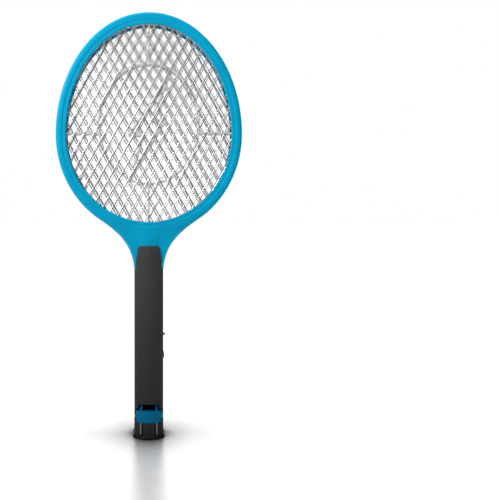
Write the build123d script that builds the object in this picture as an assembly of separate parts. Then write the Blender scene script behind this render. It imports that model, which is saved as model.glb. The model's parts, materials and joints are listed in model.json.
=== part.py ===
from build123d import *
import math
import os

# Electric fly swatter, a racket with three metal grids and a folding mains plug.
# Millimetres. X is to the right, -Y is the front, +Z runs from the foot to the top of the head.
# The origin is on the floor, under the handle's axis.

# ---- head frame and neck -------------------------------------------------------------
HEAD_Z = 360.0  # height of the head's widest line
HEAD_HALF_W = 111.0
HEAD_UP = 145.0  # semi-axis above the widest line
HEAD_DOWN = 120.0  # semi-axis below it
OPEN_HALF_W = 98.6
OPEN_UP = 131.0
OPEN_DOWN = 105.0
FRAME_HALF_D = 10.0  # half depth of the head
NECK_HALF_D = 13.8  # half depth of the neck where it meets the handle
NECK_TOP_Z = 252.0  # the head's depth is reached here
NECK_FOOT_Z = 199.0  # the handle's side walls start here
JOIN_ANGLE = 57.3  # where the neck's curve leaves the head's ellipse, below the widest line
NECK_PULL_TOP = 33.0  # lengths of the neck curve's end tangents
NECK_PULL_FOOT = 34.0
NECK_END_Z = 190.0
FRAME_WALL = 2.0
LIP_W = 1.6  # inner lip that clamps the grids
FRAME_EDGE_R = 3.0
NECK_BEND = (NECK_TOP_Z - NECK_FOOT_Z) / 2.4  # end tangents of the neck's side profile
NECK_SWELL = 1.4  # lean of the lower tangent
SPIGOT_FOOT_Z = 186.0
SPIGOT_HALF_W = 15.0
SPIGOT_HALF_D = 13.6
SPIGOT_LAP = 4.0  # length of spigot inside the neck
SPIGOT_R = 5.3

# ---- grids and braces ----------------------------------------------------------------
RIM_OUT = 4.6  # the rims of grids and braces reach this far under the frame
SHEET_T = 1.0
GUARD_Y = 6.4  # mid-plane of each guard grid
DIAMOND_W = 12.0
DIAMOND_H = 21.3
STRAND_W = 1.1
RIM_IN = 2.2
RIM_SIDES = 120  # short sides that stand for the rim's outline
SMALLEST_HOLE = 4.0  # smaller slivers of diamonds at the rim stay closed, in square millimetres
BRACE_GAP = 0.1
SPACER_IN = 0.6  # the brace's outer ring starts this far outside the opening
SPOKE_LAP = 2.0
EMBLEM_Z = 372.5
EMBLEM_HALF_W = 60.0
EMBLEM_HALF_H = 72.0
EMBLEM_W = 2.8
SPOKE_W = 2.4
SPOKE_SIDE_Z = 361.0
BOLT_W = 3.2
BOLT = ((25.6, 60.8), (-23.1, -12.9), (-6.6, -13.5), (-22.0, -66.2), (20.0, 4.6), (3.0, 4.6))
BOSS_R = 2.5
BOSS_OFFSET = 7.75  # boss centres lie this far outside the opening
BOSS_ANGLES = (14.0, 52.0, 90.0, 128.0, 166.0, 206.0, 334.0)
NECK_BOSS = (20.0, 241.0)

# ---- handle --------------------------------------------------------------------------
HANDLE_HALF_W = 17.2
HANDLE_HALF_D = 16.0
HANDLE_R = 7.5
WALL = 1.8
CAP_Z = 1.6  # the shells stand on the cap's lip here
LIP_REACH = 1.8
FLARE_H = 2.2
TONGUE_TOP_Z = 226.6
TONGUE_HALF_W = 12.3
TONGUE_CORNER_R = 3.5
TONGUE_LAP = 2.1  # thickness of the tongue over the neck
TONGUE_BACK = 9.1  # the tongue only exists in front of this depth
CAP_SPIGOT_H = 5.0
CAP_SPIGOT_GAP = 0.15
CAP_SPIGOT_WALL = 1.85
CAP_SPIGOT_FRONT_Y = -6.0  # the spigot stops here, behind the pins
FOOT_CHAMFER = 0.5
FIT_GAP = 0.1
PAST = 60.0  # cutting bodies reach this far beyond the part
OVER = 1.0  # small overlap that lets bodies join or cut cleanly

# ---- folding plug --------------------------------------------------------------------
PLUG_Z0 = 18.4
PLUG_Z1 = 32.2
PLUG_HALF_W = 15.05
PLUG_PIVOT_Y = -9.05
PLUG_PIVOT_Z = (PLUG_Z0 + PLUG_Z1) / 2
PLUG_HALF_H = (PLUG_Z1 - PLUG_Z0) / 2
PLUG_BAY_GAP = 0.3
PLUG_BAY_TOP_Z = 34.4
NOTCH_TOP_Z = 40.5
NOTCH_HALF_W = 12.2
NOTCH_R = 2.5
BAY_BACK_Y = -3.0
PLUG_EDGE_R = 0.8
PIN_X = 9.3
PIN_Y = -12.0
PIN_R = 2.0
PIN_TIP_Z = 3.3
PIN_ROOT = 4.0  # length of pin inside the plug
PIN_SLOT_W = 4.8
PIN_SLOT_Z = 2.8
HORN_W = 3.2
HORN_D = 3.0
HORN_H = 6.8
HORN_TOP_W = 1.4
HORN_TOP_D = 2.0
HORN_LEAN = 0.5
PIN_TIP_R = 1.2
AXLE_R = 1.25
AXLE_HALF_L = 16.4
RUNNING = 0.05
CARRIER_Y = 6.0
CARRIER_T = 1.6
CARRIER_HALF_W = 14.9
CARRIER_Z0 = 12.0
CARRIER_Z1 = 40.0
CONTACT_Y = 5.3
LEAF_HALF_W = 1.5
LEAF_T = 0.5
LEAF_Z0 = 24.4
LEAF_Z1 = 33.0
LEAF_TAIL = 1.4  # the leaf's tail sticks out this far behind the carrier
LEAF_SLOT_GAP = 0.4

# ---- controls on the right-hand edge --------------------------------------------------
BUTTON_Z = 95.5
BUTTON_L = 8.0
BUTTON_W = 7.0
BUTTON_OUT = 1.1
BUTTON_GAP = 0.35
BUTTON_FLANGE = 1.2
BUTTON_TRAVEL_ROOM = 1.3
BUTTON_R = 3.1
BUTTON_EDGE_R = 0.8
BUTTON_BACK_GAP = 0.3
BUTTON_STEM_R = 1.2
BUTTON_STEM_L = 1.2
BUTTON_FLANGE_LAP = 0.9
TACT_BODY_L = 3.5
TACT_BODY_HALF = 3.1
TACT_FRONT_Y = -3.2
PLUNGER_R = 1.6
PLUNGER_L = 1.0
SPRING_R = 2.4
SPRING_WIRE_R = 0.22
SPRING_TURNS = 3.5
SPRING_END = 0.25
CUT_REACH = 6.0  # cutters for the controls reach this far either side of the handle's wall
SWITCH_Z = 109.0
DISH_L = 16.0
DISH_W = 9.0
DISH_FLOOR_X = 15.9
DISH_R = 3.9
DISH_WALL = 1.2
DISH_PAD_HALF_L = 8.8
KNOB_L = 5.0
KNOB_W = 6.0
KNOB_STEM_L = 3.4
KNOB_STEM_W = 2.6
KNOB_SLOT_L = 8.6
KNOB_SLOT_W = 3.4
KNOB_TOP_X = 17.0
KNOB_GAP = 0.3
KNOB_REST = -2.0  # the knob rests this far below the dish's middle
KNOB_STEM_X = 11.2
KNOB_R = 0.8
RIB_PITCH = 1.4
RIB_SLOT = 0.6
RIB_DEPTH = 0.4
SWITCH_X0 = 6.5
SWITCH_X1 = 12.6
SWITCH_FRONT_Y = -3.6
SWITCH_HALF_L = 6.6
SWITCH_WELL_X = 10.8
SWITCH_WELL_HALF_L = 4.6
SWITCH_WELL_HALF_W = 1.8
LED_Z = 120.5
LED_R = 1.5
LED_OUT = 2.3
LED_BACK_X = 10.4
LED_FLANGE_T = 1.0
LED_FLANGE_LAP = 0.4
LED_LEG_X = 7.0
LED_LEG_Y = 1.2
LED_LEG_R = 0.25

# ---- inside the handle -----------------------------------------------------------------
BOARD_Z0 = 96.0
BOARD_Z1 = 180.0
BOARD_X0 = -13.0
BOARD_X1 = 9.0
BOARD_Y = 3.0  # front face
BOARD_T = 1.6
CELL_R = 7.0
CELL_X = 7.2
CELL_Z0 = 49.0
CELL_L = 38.0
CELL_EDGE_R = 0.8
NUB_R = 2.2
NUB_H = 0.9
LINK_T = 0.3
LINK_HALF_W = 2.0
TAB_BACK_Y = 8.8
CRADLE_HALF_W = 15.0
CRADLE_FRONT_Y = 3.0
CRADLE_BACK_Y = 13.6
CRADLE_END = 4.0  # the cradle is this much shorter than the cells at each end
CRADLE_HOLLOW_HALF_W = 13.4
CRADLE_HOLLOW_Y = 8.6
WIRE_R = 0.7
LEAD_R = 0.3  # bare legs of the components
AXIAL_GAP = 0.2
AXIAL_LEG = 2.0
DIODE_R = 1.3
RESISTOR_R = 1.0
BODY_L = 5.0  # length of diodes and resistors
DIODES = ((-8.0, 143.2), (-3.0, 143.2), (2.0, 143.2))
FLAT_RESISTORS = ((-6.0, 112.0), (-6.0, 107.0))
UPRIGHT_RESISTOR = (1.0, 123.0)
TRANSFORMER_X = -2.0
TRANSFORMER_Z = 158.0
TRANSFORMER_D = 8.0
BOBBIN_HALF_W = 7.5
BOBBIN_HALF_H = 6.6
BOBBIN_WALL = 1.2
CORE_HALF_W = 10.6
CORE_HALF_H = 9.6
CORE_LEG_HALF_H = 2.3
CORE_WINDOW_HALF_W = 7.6
CORE_WINDOW_HALF_H = 7.0
CORE_Y = 2.5  # the core lies this far behind the bobbin's front
CORE_D = 3.0
COIL_HALF_W = 6.2
COIL_HALF_H = 6.2
COIL_HOLE_HALF_H = 4.7
BOBBIN_TUBE_STEP = 2.0  # the bobbin's tube is this much lower than its cheeks
CAPACITOR_X0 = -10.0
CAPACITOR_X1 = 6.0
CAPACITOR_Z = 133.5
CAPACITOR_HALF_H = 4.0
CAPACITOR_D = 9.0
CAPACITOR_LEG_X = 6.0  # its legs stand this far either side of its middle
TRANSISTOR = (-5.0, 121.0)
TRANSISTOR_R = 2.3
TRANSISTOR_L = 5.0
TRANSISTOR_Y = 4.0  # its axis lies this far in front of the board
TRANSISTOR_FLAT = 1.4
TRANSISTOR_LEG_L = 2.4
CHARGER_HALF_W = 14.0
CHARGER_Y0 = 9.6
CHARGER_Z0 = 9.0
CHARGER_Z1 = 41.0
DROPPER_HALF_W = 9.0
DROPPER_Y = (2.4, 9.4)
DROPPER_Z = (8.6, 11.8)
DROPPER_R = 0.6
BRIDGE_X = 5.0
BRIDGE_Y = 12.6
BRIDGE_ROWS = (32.0, 36.0)
BRIDGE_R = 1.2
BRIDGE_HALF_L = 2.4
BRIDGE_LEG_HALF_L = 3.8
ARC_SHARE = 0.45  # share of a lead's straight run that its rounded corner may use
SCREW_R = 1.1
HEAD_R = 2.1
HEAD_H = 1.5
HEAD_ROOM = 0.2
CROSS_HALF_L = 1.3
CROSS_HALF_W = 0.25
CROSS_DEPTH = 0.7
FRAME_SINK = 0.6  # screw heads lie this far below the frame's rear face
HANDLE_SINK = 1.2
FRAME_TIP_Y = -6.8
HANDLE_TIP_Y = -11.0
BLIND_FLOOR = 3.0  # material left in front of the handle's blind screw holes
HANDLE_SCREWS = ((0.0, 193.0), (0.0, 91.8), (10.0, 44.6), (-10.0, 44.6))
HANDLE_BOSS_R = 2.6
POST_R = 2.4
POST_HOLE = 6.0
BOARD_TIP = 5.0
BOARD_HEAD_R = 1.9
BOARD_SCREWS = ((-10.2, 99.2), (6.0, 176.8))


def box(x0, x1, y0, y1, z0, z1):
    """Box between two opposite corners."""
    size = (x1 - x0, y1 - y0, z1 - z0)
    return Pos((x0 + x1) / 2, (y0 + y1) / 2, (z0 + z1) / 2) * Box(*size)


def rod_y(x, z, r, y0, y1):
    """Cylinder along Y."""
    return Pos(x, (y0 + y1) / 2, z) * Rot(90, 0, 0) * Cylinder(r, abs(y1 - y0))


def rod_x(y, z, r, x0, x1):
    """Cylinder along X."""
    return Pos((x0 + x1) / 2, y, z) * Rot(0, 90, 0) * Cylinder(r, abs(x1 - x0))


def rod_z(x, y, r, z0, z1):
    """Cylinder along Z."""
    return Pos(x, y, (z0 + z1) / 2) * Cylinder(r, abs(z1 - z0))


def layer(face, y0, y1):
    """Solid of a face drawn in X and Z, from depth y0 forward to depth y1."""
    return extrude(Plane.XZ.offset(-y0) * face, amount=y0 - y1)


def rear(part):
    """The same part behind the parting plane."""
    return part.mirror(Plane.XZ)


def ellipse_point(half_w, half_h, degrees):
    angle = math.radians(degrees)
    return (half_w * math.cos(angle), HEAD_Z + half_h * math.sin(angle))


def outline(inset):
    """Outline of head and neck, moved inwards by inset."""
    half_w = HEAD_HALF_W - inset
    down = HEAD_DOWN - inset
    angle = math.radians(JOIN_ANGLE)
    x0, z0 = ellipse_point(half_w, down, -JOIN_ANGLE)
    slope = Vector(-half_w * math.sin(angle), -down * math.cos(angle)).normalized()
    foot = HANDLE_HALF_W - inset
    pulled = (x0 + slope.X * NECK_PULL_TOP, z0 + slope.Y * NECK_PULL_TOP)
    neck = Bezier((x0, z0), pulled, (foot, NECK_END_Z + NECK_PULL_FOOT), (foot, NECK_END_Z))
    centre = (0, HEAD_Z)
    upper = EllipticalCenterArc(centre, half_w, HEAD_UP - inset, 0, arc_size=90)
    lower = EllipticalCenterArc(centre, half_w, down, -JOIN_ANGLE, arc_size=JOIN_ANGLE)
    half = [upper, lower, neck]
    edges = half + [edge.mirror(Plane.YZ) for edge in half]
    edges.append(Line((-foot, NECK_END_Z), (foot, NECK_END_Z)))
    return make_face(Wire(edges))


def opening(outset):
    """Outline of the opening, moved outwards by outset."""
    half_w = OPEN_HALF_W + outset
    centre = (0, HEAD_Z)
    upper = EllipticalCenterArc(centre, half_w, OPEN_UP + outset, 0, arc_size=180)
    lower = EllipticalCenterArc(centre, half_w, OPEN_DOWN + outset, 180, arc_size=180)
    return make_face(Wire([upper, lower]))


def side_profile(inset):
    """Front half of the body seen from the side, as a block across the full width."""
    head = FRAME_HALF_D - inset
    neck = NECK_HALF_D - inset
    foot = (-neck, NECK_FOOT_Z)
    top = (-head, NECK_TOP_Z)
    curve = Bezier(foot, (-neck + NECK_SWELL, NECK_FOOT_Z + NECK_BEND), (-head, NECK_TOP_Z - NECK_BEND), top)
    ceiling = HEAD_Z + HEAD_UP
    rest = Polyline(top, (-head, ceiling), (0, ceiling), (0, NECK_END_Z), (-neck, NECK_END_Z), foot)
    face = make_face(Wire([curve] + rest.edges()))
    return extrude(Plane.YZ.offset(-HEAD_HALF_W) * face, amount=2 * HEAD_HALF_W)


def boss_places():
    places = []
    for degrees in BOSS_ANGLES:
        down = math.sin(math.radians(degrees)) < 0
        half_h = OPEN_DOWN if down else OPEN_UP
        places.append(ellipse_point(OPEN_HALF_W + BOSS_OFFSET, half_h + BOSS_OFFSET, degrees))
    x, z = NECK_BOSS
    return places + [(x, z), (-x, z)]


def frame_blank():
    """Front half of head and neck as a solid, with its outer front edge rounded."""
    blank = layer(outline(0), 0, -NECK_HALF_D) & side_profile(0)
    rounded = []
    for edge in blank.edges():
        reach = edge.bounding_box().max
        if reach.Y < -FRAME_HALF_D + FIT_GAP and reach.Z > HEAD_Z - HEAD_DOWN:
            rounded.append(edge)
    blank = fillet(rounded, FRAME_EDGE_R)
    blank -= layer(opening(0), OVER, -NECK_HALF_D - OVER)
    return blank - box(-HEAD_HALF_W, HEAD_HALF_W, -PAST, OVER, NECK_END_Z - OVER, NECK_FOOT_Z)


def spigot():
    """Stub of the neck that the handle's shells close around."""
    top_z = NECK_FOOT_Z + SPIGOT_LAP
    stub = box(-SPIGOT_HALF_W, SPIGOT_HALF_W, -SPIGOT_HALF_D, 0, SPIGOT_FOOT_Z, top_z)
    corners = stub.edges().filter_by(Axis.Z).sort_by(Axis.Y)[:2]
    core_half_w = SPIGOT_HALF_W - FRAME_WALL
    core_z0 = SPIGOT_FOOT_Z - OVER
    core = box(-core_half_w, core_half_w, -SPIGOT_HALF_D + FRAME_WALL, 0, core_z0, top_z + OVER)
    stub = fillet(corners, SPIGOT_R) - core
    lock_x, lock_z = HANDLE_SCREWS[0]
    return stub - rod_y(lock_x, lock_z, HANDLE_BOSS_R + FIT_GAP, -PAST, 0)


def frame_half(screw_heads):
    """Blue half shell of head and neck, in front of the parting plane."""
    hollow = layer(outline(FRAME_WALL), 0, -NECK_HALF_D) & side_profile(FRAME_WALL)
    shell = frame_blank() - hollow
    lip_back = -GUARD_Y - SHEET_T / 2
    shell += layer(opening(LIP_W) - opening(0), lip_back, -FRAME_HALF_D + FRAME_WALL / 2)
    shell += spigot()
    front = -FRAME_HALF_D + FRAME_WALL / 2
    for x, z in boss_places():
        shell += rod_y(x, z, BOSS_R, front, 0)
        if screw_heads:
            shell -= rod_y(x, z, SCREW_R + FIT_GAP, -PAST, 0)
            shell -= rod_y(x, z, HEAD_R + HEAD_ROOM, -PAST, -FRAME_HALF_D + HEAD_H + FRAME_SINK)
        else:
            shell -= rod_y(x, z, SCREW_R, front + OVER, 0)
    return shell


def clip_to_rim(polygon, half_w, up, down):
    """Cut a convex polygon to the inside of the rim's outline, approximated by short sides."""
    rim = []
    for i in range(RIM_SIDES):
        degrees = 360.0 * i / RIM_SIDES
        half_h = up if math.sin(math.radians(degrees)) >= 0 else down
        rim.append(ellipse_point(half_w, half_h, degrees))
    for (ax, az), (bx, bz) in zip(rim, rim[1:] + rim[:1]):
        kept = []
        for (px, pz), (qx, qz) in zip(polygon, polygon[1:] + polygon[:1]):
            p_side = (bx - ax) * (pz - az) - (bz - az) * (px - ax)
            q_side = (bx - ax) * (qz - az) - (bz - az) * (qx - ax)
            if p_side >= 0:
                kept.append((px, pz))
            if (p_side >= 0) != (q_side >= 0):
                share = p_side / (p_side - q_side)
                kept.append((px + share * (qx - px), pz + share * (qz - pz)))
        polygon = kept
        if not polygon:
            return []
    return polygon


def polygon_area(polygon):
    total = 0.0
    for (px, pz), (qx, qz) in zip(polygon, polygon[1:] + polygon[:1]):
        total += px * qz - qx * pz
    return total / 2


def grid_sheet(y, shift):
    """Expanded-metal sheet at depth y, with its diamonds moved by shift (in pitches)."""
    tilt = math.atan2(DIAMOND_H, DIAMOND_W)
    shrink_x = STRAND_W / 2 / math.sin(tilt)
    half_w = DIAMOND_W / 2 - shrink_x
    half_h = half_w * DIAMOND_H / DIAMOND_W
    columns = int(OPEN_HALF_W / DIAMOND_W * 2) + 2
    rows = int(OPEN_UP / DIAMOND_H * 2) + 2
    holes = []
    for column in range(-columns, columns + 1):
        for row in range(-rows, rows + 1):
            if (column + row) % 2:
                continue
            x = (column / 2 + shift[0]) * DIAMOND_W
            z = HEAD_Z + (row / 2 + shift[1]) * DIAMOND_H
            diamond = [(x + half_w, z), (x, z + half_h), (x - half_w, z), (x, z - half_h)]
            hole = clip_to_rim(diamond, OPEN_HALF_W + RIM_IN, OPEN_UP + RIM_IN, OPEN_DOWN + RIM_IN)
            if len(hole) > 2 and polygon_area(hole) > SMALLEST_HOLE:
                holes.append(Wire(Polyline(*hole, close=True).edges()))
    sheet = Face(opening(RIM_OUT).face().outer_wire(), holes)
    return layer(sheet, y + SHEET_T / 2, y - SHEET_T / 2)


def bolt_outline():
    """Closed band along the bolt's edges, with mitred corners."""
    face = make_face(Wire(Polyline(*BOLT, close=True).edges()))
    outer = offset(face, amount=BOLT_W / 2, kind=Kind.INTERSECTION)
    return outer - offset(face, amount=-BOLT_W / 2, kind=Kind.INTERSECTION)


def brace():
    """White spacer: outer ring, four spokes, oval ring and the outline of a bolt."""
    back = -SHEET_T / 2 - BRACE_GAP
    front = -GUARD_Y + SHEET_T / 2 + BRACE_GAP
    centre = Pos(0, EMBLEM_Z)
    oval = centre * Ellipse(EMBLEM_HALF_W + EMBLEM_W / 2, EMBLEM_HALF_H + EMBLEM_W / 2)
    oval_in = centre * Ellipse(EMBLEM_HALF_W - EMBLEM_W / 2, EMBLEM_HALF_H - EMBLEM_W / 2)
    ring = opening(RIM_OUT) - opening(SPACER_IN)
    upright = Pos(0, HEAD_Z) * Rectangle(SPOKE_W, 2 * (OPEN_UP + SPOKE_LAP))
    level = Pos(0, SPOKE_SIDE_Z) * Rectangle(2 * (OPEN_HALF_W + SPOKE_LAP), SPOKE_W)
    spokes = ((upright + level) & opening(SPOKE_LAP)) - oval_in
    bolt = centre * bolt_outline()
    drawing = ring + spokes + (oval - oval_in) + (bolt & oval)
    solid = layer(drawing, back, front)
    for x, z in boss_places():
        solid -= rod_y(x, z, BOSS_R + FIT_GAP, -PAST, 0)
    return solid


def handle_section(inset):
    width = 2 * (HANDLE_HALF_W - inset)
    return RectangleRounded(width, 2 * (HANDLE_HALF_D - inset), HANDLE_R - inset)


def front_half_space(z0, z1):
    return box(-PAST, PAST, -PAST, 0, z0, z1)


def tongue():
    """Flat end of the handle shell that laps over the neck."""
    foot_z = NECK_FOOT_Z - OVER
    points = [(-HANDLE_HALF_W, foot_z), (HANDLE_HALF_W, foot_z),
              (TONGUE_HALF_W, TONGUE_TOP_Z), (-TONGUE_HALF_W, TONGUE_TOP_Z)]
    face = make_face(Polyline(*points, close=True))
    face = fillet(face.vertices().sort_by(Axis.Y)[-2:], TONGUE_CORNER_R)
    slab = layer(face, 0, -HANDLE_HALF_D)
    outer = Pos(0, -TONGUE_LAP, 0) * side_profile(0)
    outer += box(-PAST, PAST, -TONGUE_LAP, 0, NECK_END_Z, HEAD_Z)
    slab = slab & outer
    slab = slab & extrude(Pos(0, 0, NECK_END_Z) * handle_section(0), amount=PAST)
    slab -= Pos(0, -FIT_GAP, 0) * side_profile(0)
    return slab - box(-PAST, PAST, -TONGUE_BACK, 0, NECK_END_Z, HEAD_Z)


def handle_tube():
    """Front half of the plain handle tube, open at both ends."""
    outer = extrude(Pos(0, 0, CAP_Z) * handle_section(0), amount=NECK_FOOT_Z - FIT_GAP - CAP_Z)
    inner = extrude(Pos(0, 0, CAP_Z - OVER) * handle_section(WALL), amount=NECK_FOOT_Z + OVER)
    return (outer - inner) & front_half_space(0, NECK_FOOT_Z)


def control_cuts():
    """Holes and the dished recess on the right-hand edge, shared by both halves."""
    button_l = BUTTON_L + 2 * BUTTON_GAP
    button_w = BUTTON_W + 2 * BUTTON_GAP
    inside = HANDLE_HALF_W - CUT_REACH
    outside = HANDLE_HALF_W + CUT_REACH
    button = box(inside, outside, -button_w / 2, button_w / 2, BUTTON_Z - button_l / 2, BUTTON_Z + button_l / 2)
    button = fillet(button.edges().filter_by(Axis.X), BUTTON_R)
    dish = box(DISH_FLOOR_X, outside, -DISH_W / 2, DISH_W / 2, SWITCH_Z - DISH_L / 2, SWITCH_Z + DISH_L / 2)
    dish = fillet(dish.edges().filter_by(Axis.X), DISH_R)
    slot_w = KNOB_SLOT_W / 2
    slot_l = KNOB_SLOT_L / 2
    slot = box(inside, outside, -slot_w, slot_w, SWITCH_Z - slot_l, SWITCH_Z + slot_l)
    led = rod_x(0, LED_Z, LED_R + FIT_GAP, inside, outside)
    return button + dish + slot + led


def handle_half(screw_heads):
    """Charcoal half shell, in front of the parting plane."""
    shell = handle_tube()
    inner_x = HANDLE_HALF_W - WALL
    pad_y = -DISH_W / 2 - DISH_WALL
    pad_z = SWITCH_Z - DISH_PAD_HALF_L
    shell += box(inner_x - DISH_WALL, inner_x + OVER, pad_y, 0, pad_z, pad_z + 2 * DISH_PAD_HALF_L)
    for x, z in HANDLE_SCREWS:
        shell += rod_y(x, z, HANDLE_BOSS_R, -HANDLE_HALF_D + WALL / 2, 0)
    shell += tongue()
    shell -= control_cuts()
    for x, z in HANDLE_SCREWS:
        if screw_heads:
            shell -= rod_y(x, z, SCREW_R + FIT_GAP, -PAST, 0)
            shell -= rod_y(x, z, HEAD_R + HEAD_ROOM, -PAST, -HANDLE_HALF_D + HEAD_H + HANDLE_SINK)
        else:
            shell -= rod_y(x, z, SCREW_R, -HANDLE_HALF_D + BLIND_FLOOR, 0)
    return shell


def handle_front():
    """Front half shell, with the opening for the plug."""
    shell = handle_half(False)
    inner_x = HANDLE_HALF_W - WALL
    shell -= box(-inner_x, inner_x, -PAST, BAY_BACK_Y, PLUG_Z0 - PLUG_BAY_GAP, PLUG_BAY_TOP_Z)
    notch = box(-NOTCH_HALF_W, NOTCH_HALF_W, -PAST, BAY_BACK_Y, PLUG_Z0, NOTCH_TOP_Z)
    shell -= fillet(notch.edges().filter_by(Axis.Y).sort_by(Axis.Z)[-2:], NOTCH_R)
    half = PIN_SLOT_W / 2
    for x in (-PIN_X, PIN_X):
        shell -= box(x - half, x + half, -PAST, BAY_BACK_Y, PIN_SLOT_Z, PLUG_Z0)
    shell -= rod_x(PLUG_PIVOT_Y, PLUG_PIVOT_Z, AXLE_R, -AXLE_HALF_L, AXLE_HALF_L)
    return shell


def end_cap():
    """Foot: a flared lip with a spigot inside the handle."""
    lip = extrude(handle_section(-LIP_REACH), amount=CAP_Z)
    lip = chamfer(lip.faces().sort_by(Axis.Z)[0].edges(), FOOT_CHAMFER)
    flare = loft([handle_section(-LIP_REACH), Pos(0, 0, FLARE_H) * handle_section(0)])
    flare = Pos(0, 0, CAP_Z) * flare
    flare -= extrude(Pos(0, 0, CAP_Z) * handle_section(0), amount=FLARE_H + OVER)
    half = PIN_SLOT_W / 2
    for x in (-PIN_X, PIN_X):
        flare -= box(x - half, x + half, -PAST, 0, PIN_SLOT_Z, CAP_Z + FLARE_H + OVER)
    inset = WALL + CAP_SPIGOT_GAP
    collar = extrude(Pos(0, 0, CAP_Z - OVER) * handle_section(inset), amount=CAP_SPIGOT_H + OVER)
    collar -= extrude(Pos(0, 0, CAP_Z) * handle_section(inset + CAP_SPIGOT_WALL), amount=CAP_SPIGOT_H + OVER)
    collar -= box(-PAST, PAST, -PAST, CAP_SPIGOT_FRONT_Y, CAP_Z, PAST)
    return lip + flare + collar


def plug_block():
    """Plug body: square at the front, round at the back about its axle, with two horns."""
    front = extrude(Pos(0, 0, PLUG_Z0) * handle_section(0), amount=PLUG_Z1 - PLUG_Z0)
    front = front & box(-PLUG_HALF_W, PLUG_HALF_W, -PAST, PLUG_PIVOT_Y, 0, PAST)
    back = rod_x(PLUG_PIVOT_Y, PLUG_PIVOT_Z, PLUG_HALF_H, -PLUG_HALF_W, PLUG_HALF_W)
    block = front + back
    block = fillet(block.edges().filter_by(Axis.X).sort_by(Axis.Y)[:2], PLUG_EDGE_R)
    for x in (-PIN_X, PIN_X):
        top_x = x - math.copysign(HORN_LEAN, x)
        foot = Pos(x, PIN_Y, PLUG_Z1 - OVER) * Rectangle(HORN_W, HORN_D)
        top = Pos(top_x, PIN_Y, PLUG_Z1 + HORN_H) * Rectangle(HORN_TOP_W, HORN_TOP_D)
        block += loft([foot, top])
        block -= rod_z(x, PIN_Y, PIN_R, PLUG_Z0 - OVER, PLUG_Z0 + PIN_ROOT)
    return block - rod_x(PLUG_PIVOT_Y, PLUG_PIVOT_Z, AXLE_R + RUNNING, -PAST, PAST)


def plug_pin(x):
    pin = rod_z(x, PIN_Y, PIN_R, PIN_TIP_Z, PLUG_Z0 + PIN_ROOT)
    return fillet(pin.edges().sort_by(Axis.Z)[:1], PIN_TIP_R)


def contact_carrier():
    """Insulating plate behind the plug that holds the two contacts."""
    plate = box(-CARRIER_HALF_W, CARRIER_HALF_W, CARRIER_Y, CARRIER_Y + CARRIER_T, CARRIER_Z0, CARRIER_Z1)
    half = LEAF_HALF_W + FIT_GAP
    low = LEAF_Z0 - LEAF_SLOT_GAP
    for x in (-PIN_X, PIN_X):
        plate -= box(x - half, x + half, 0, PAST, low, LEAF_Z0 + LEAF_T + LEAF_SLOT_GAP)
    return plate


def plug_contacts():
    """Two spring leaves that the horns press on when the plug is folded out."""
    leaves = Part()
    for x in (-PIN_X, PIN_X):
        x0 = x - LEAF_HALF_W
        x1 = x + LEAF_HALF_W
        leaves += box(x0, x1, CONTACT_Y, CONTACT_Y + LEAF_T, LEAF_Z0, LEAF_Z1)
        leaves += box(x0, x1, CONTACT_Y, CARRIER_Y + CARRIER_T + LEAF_TAIL, LEAF_Z0, LEAF_Z0 + LEAF_T)
    return leaves


def button_back():
    """Where the button's flange, its stem and the switch behind it begin, as X values."""
    flange = HANDLE_HALF_W - WALL - BUTTON_FLANGE - BUTTON_BACK_GAP
    stem = flange - BUTTON_STEM_L
    return flange, stem, stem - BUTTON_TRAVEL_ROOM


def push_button():
    flange_x, stem_x, _ = button_back()
    half_w = BUTTON_W / 2
    half_l = BUTTON_L / 2
    cap = box(flange_x, HANDLE_HALF_W + BUTTON_OUT, -half_w, half_w, BUTTON_Z - half_l, BUTTON_Z + half_l)
    cap = fillet(cap.edges().filter_by(Axis.X), BUTTON_R)
    cap = fillet(cap.faces().sort_by(Axis.X)[-1].edges(), BUTTON_EDGE_R)
    lap_w = half_w + BUTTON_FLANGE_LAP
    lap_l = half_l + BUTTON_BACK_GAP
    flange = box(flange_x, flange_x + BUTTON_FLANGE, -lap_w, lap_w, BUTTON_Z - lap_l, BUTTON_Z + lap_l)
    return cap + flange + rod_x(0, BUTTON_Z, BUTTON_STEM_R, stem_x, flange_x + OVER / 2)


def button_switch():
    switch_x = button_back()[2]
    front_x = switch_x - PLUNGER_L
    low = BUTTON_Z - TACT_BODY_HALF
    body = box(front_x - TACT_BODY_L, front_x, TACT_FRONT_Y, BOARD_Y, low, BUTTON_Z + TACT_BODY_HALF)
    return body + rod_x(0, BUTTON_Z, PLUNGER_R, front_x - OVER / 2, switch_x)


def button_spring():
    """Coil spring between the switch body and the button's flange."""
    flange_x, _, switch_x = button_back()
    x0 = switch_x - PLUNGER_L + SPRING_END
    length = flange_x - SPRING_END - x0
    path = Helix(length / SPRING_TURNS, length, SPRING_R)
    profile = Plane(path @ 0, z_dir=path % 0) * Circle(SPRING_WIRE_R)
    coil = sweep(profile, path=path, is_frenet=True)
    return Pos(x0, 0, BUTTON_Z) * Rot(0, 90, 0) * coil


def slide_knob():
    floor = DISH_FLOOR_X + KNOB_GAP
    half_w = KNOB_W / 2
    half_l = KNOB_L / 2
    z = SWITCH_Z + KNOB_REST
    pad = box(floor, KNOB_TOP_X, -half_w, half_w, z - half_l, z + half_l)
    pad = fillet(pad.edges().filter_by(Axis.X), KNOB_R)
    for i in (-1, 0, 1):
        low = z + i * RIB_PITCH - RIB_SLOT / 2
        pad -= box(KNOB_TOP_X - RIB_DEPTH, KNOB_TOP_X + OVER, -KNOB_W, KNOB_W, low, low + RIB_SLOT)
    stem_w = KNOB_STEM_W / 2
    stem_l = KNOB_STEM_L / 2
    return pad + box(KNOB_STEM_X, floor + FIT_GAP, -stem_w, stem_w, z - stem_l, z + stem_l)


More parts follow.
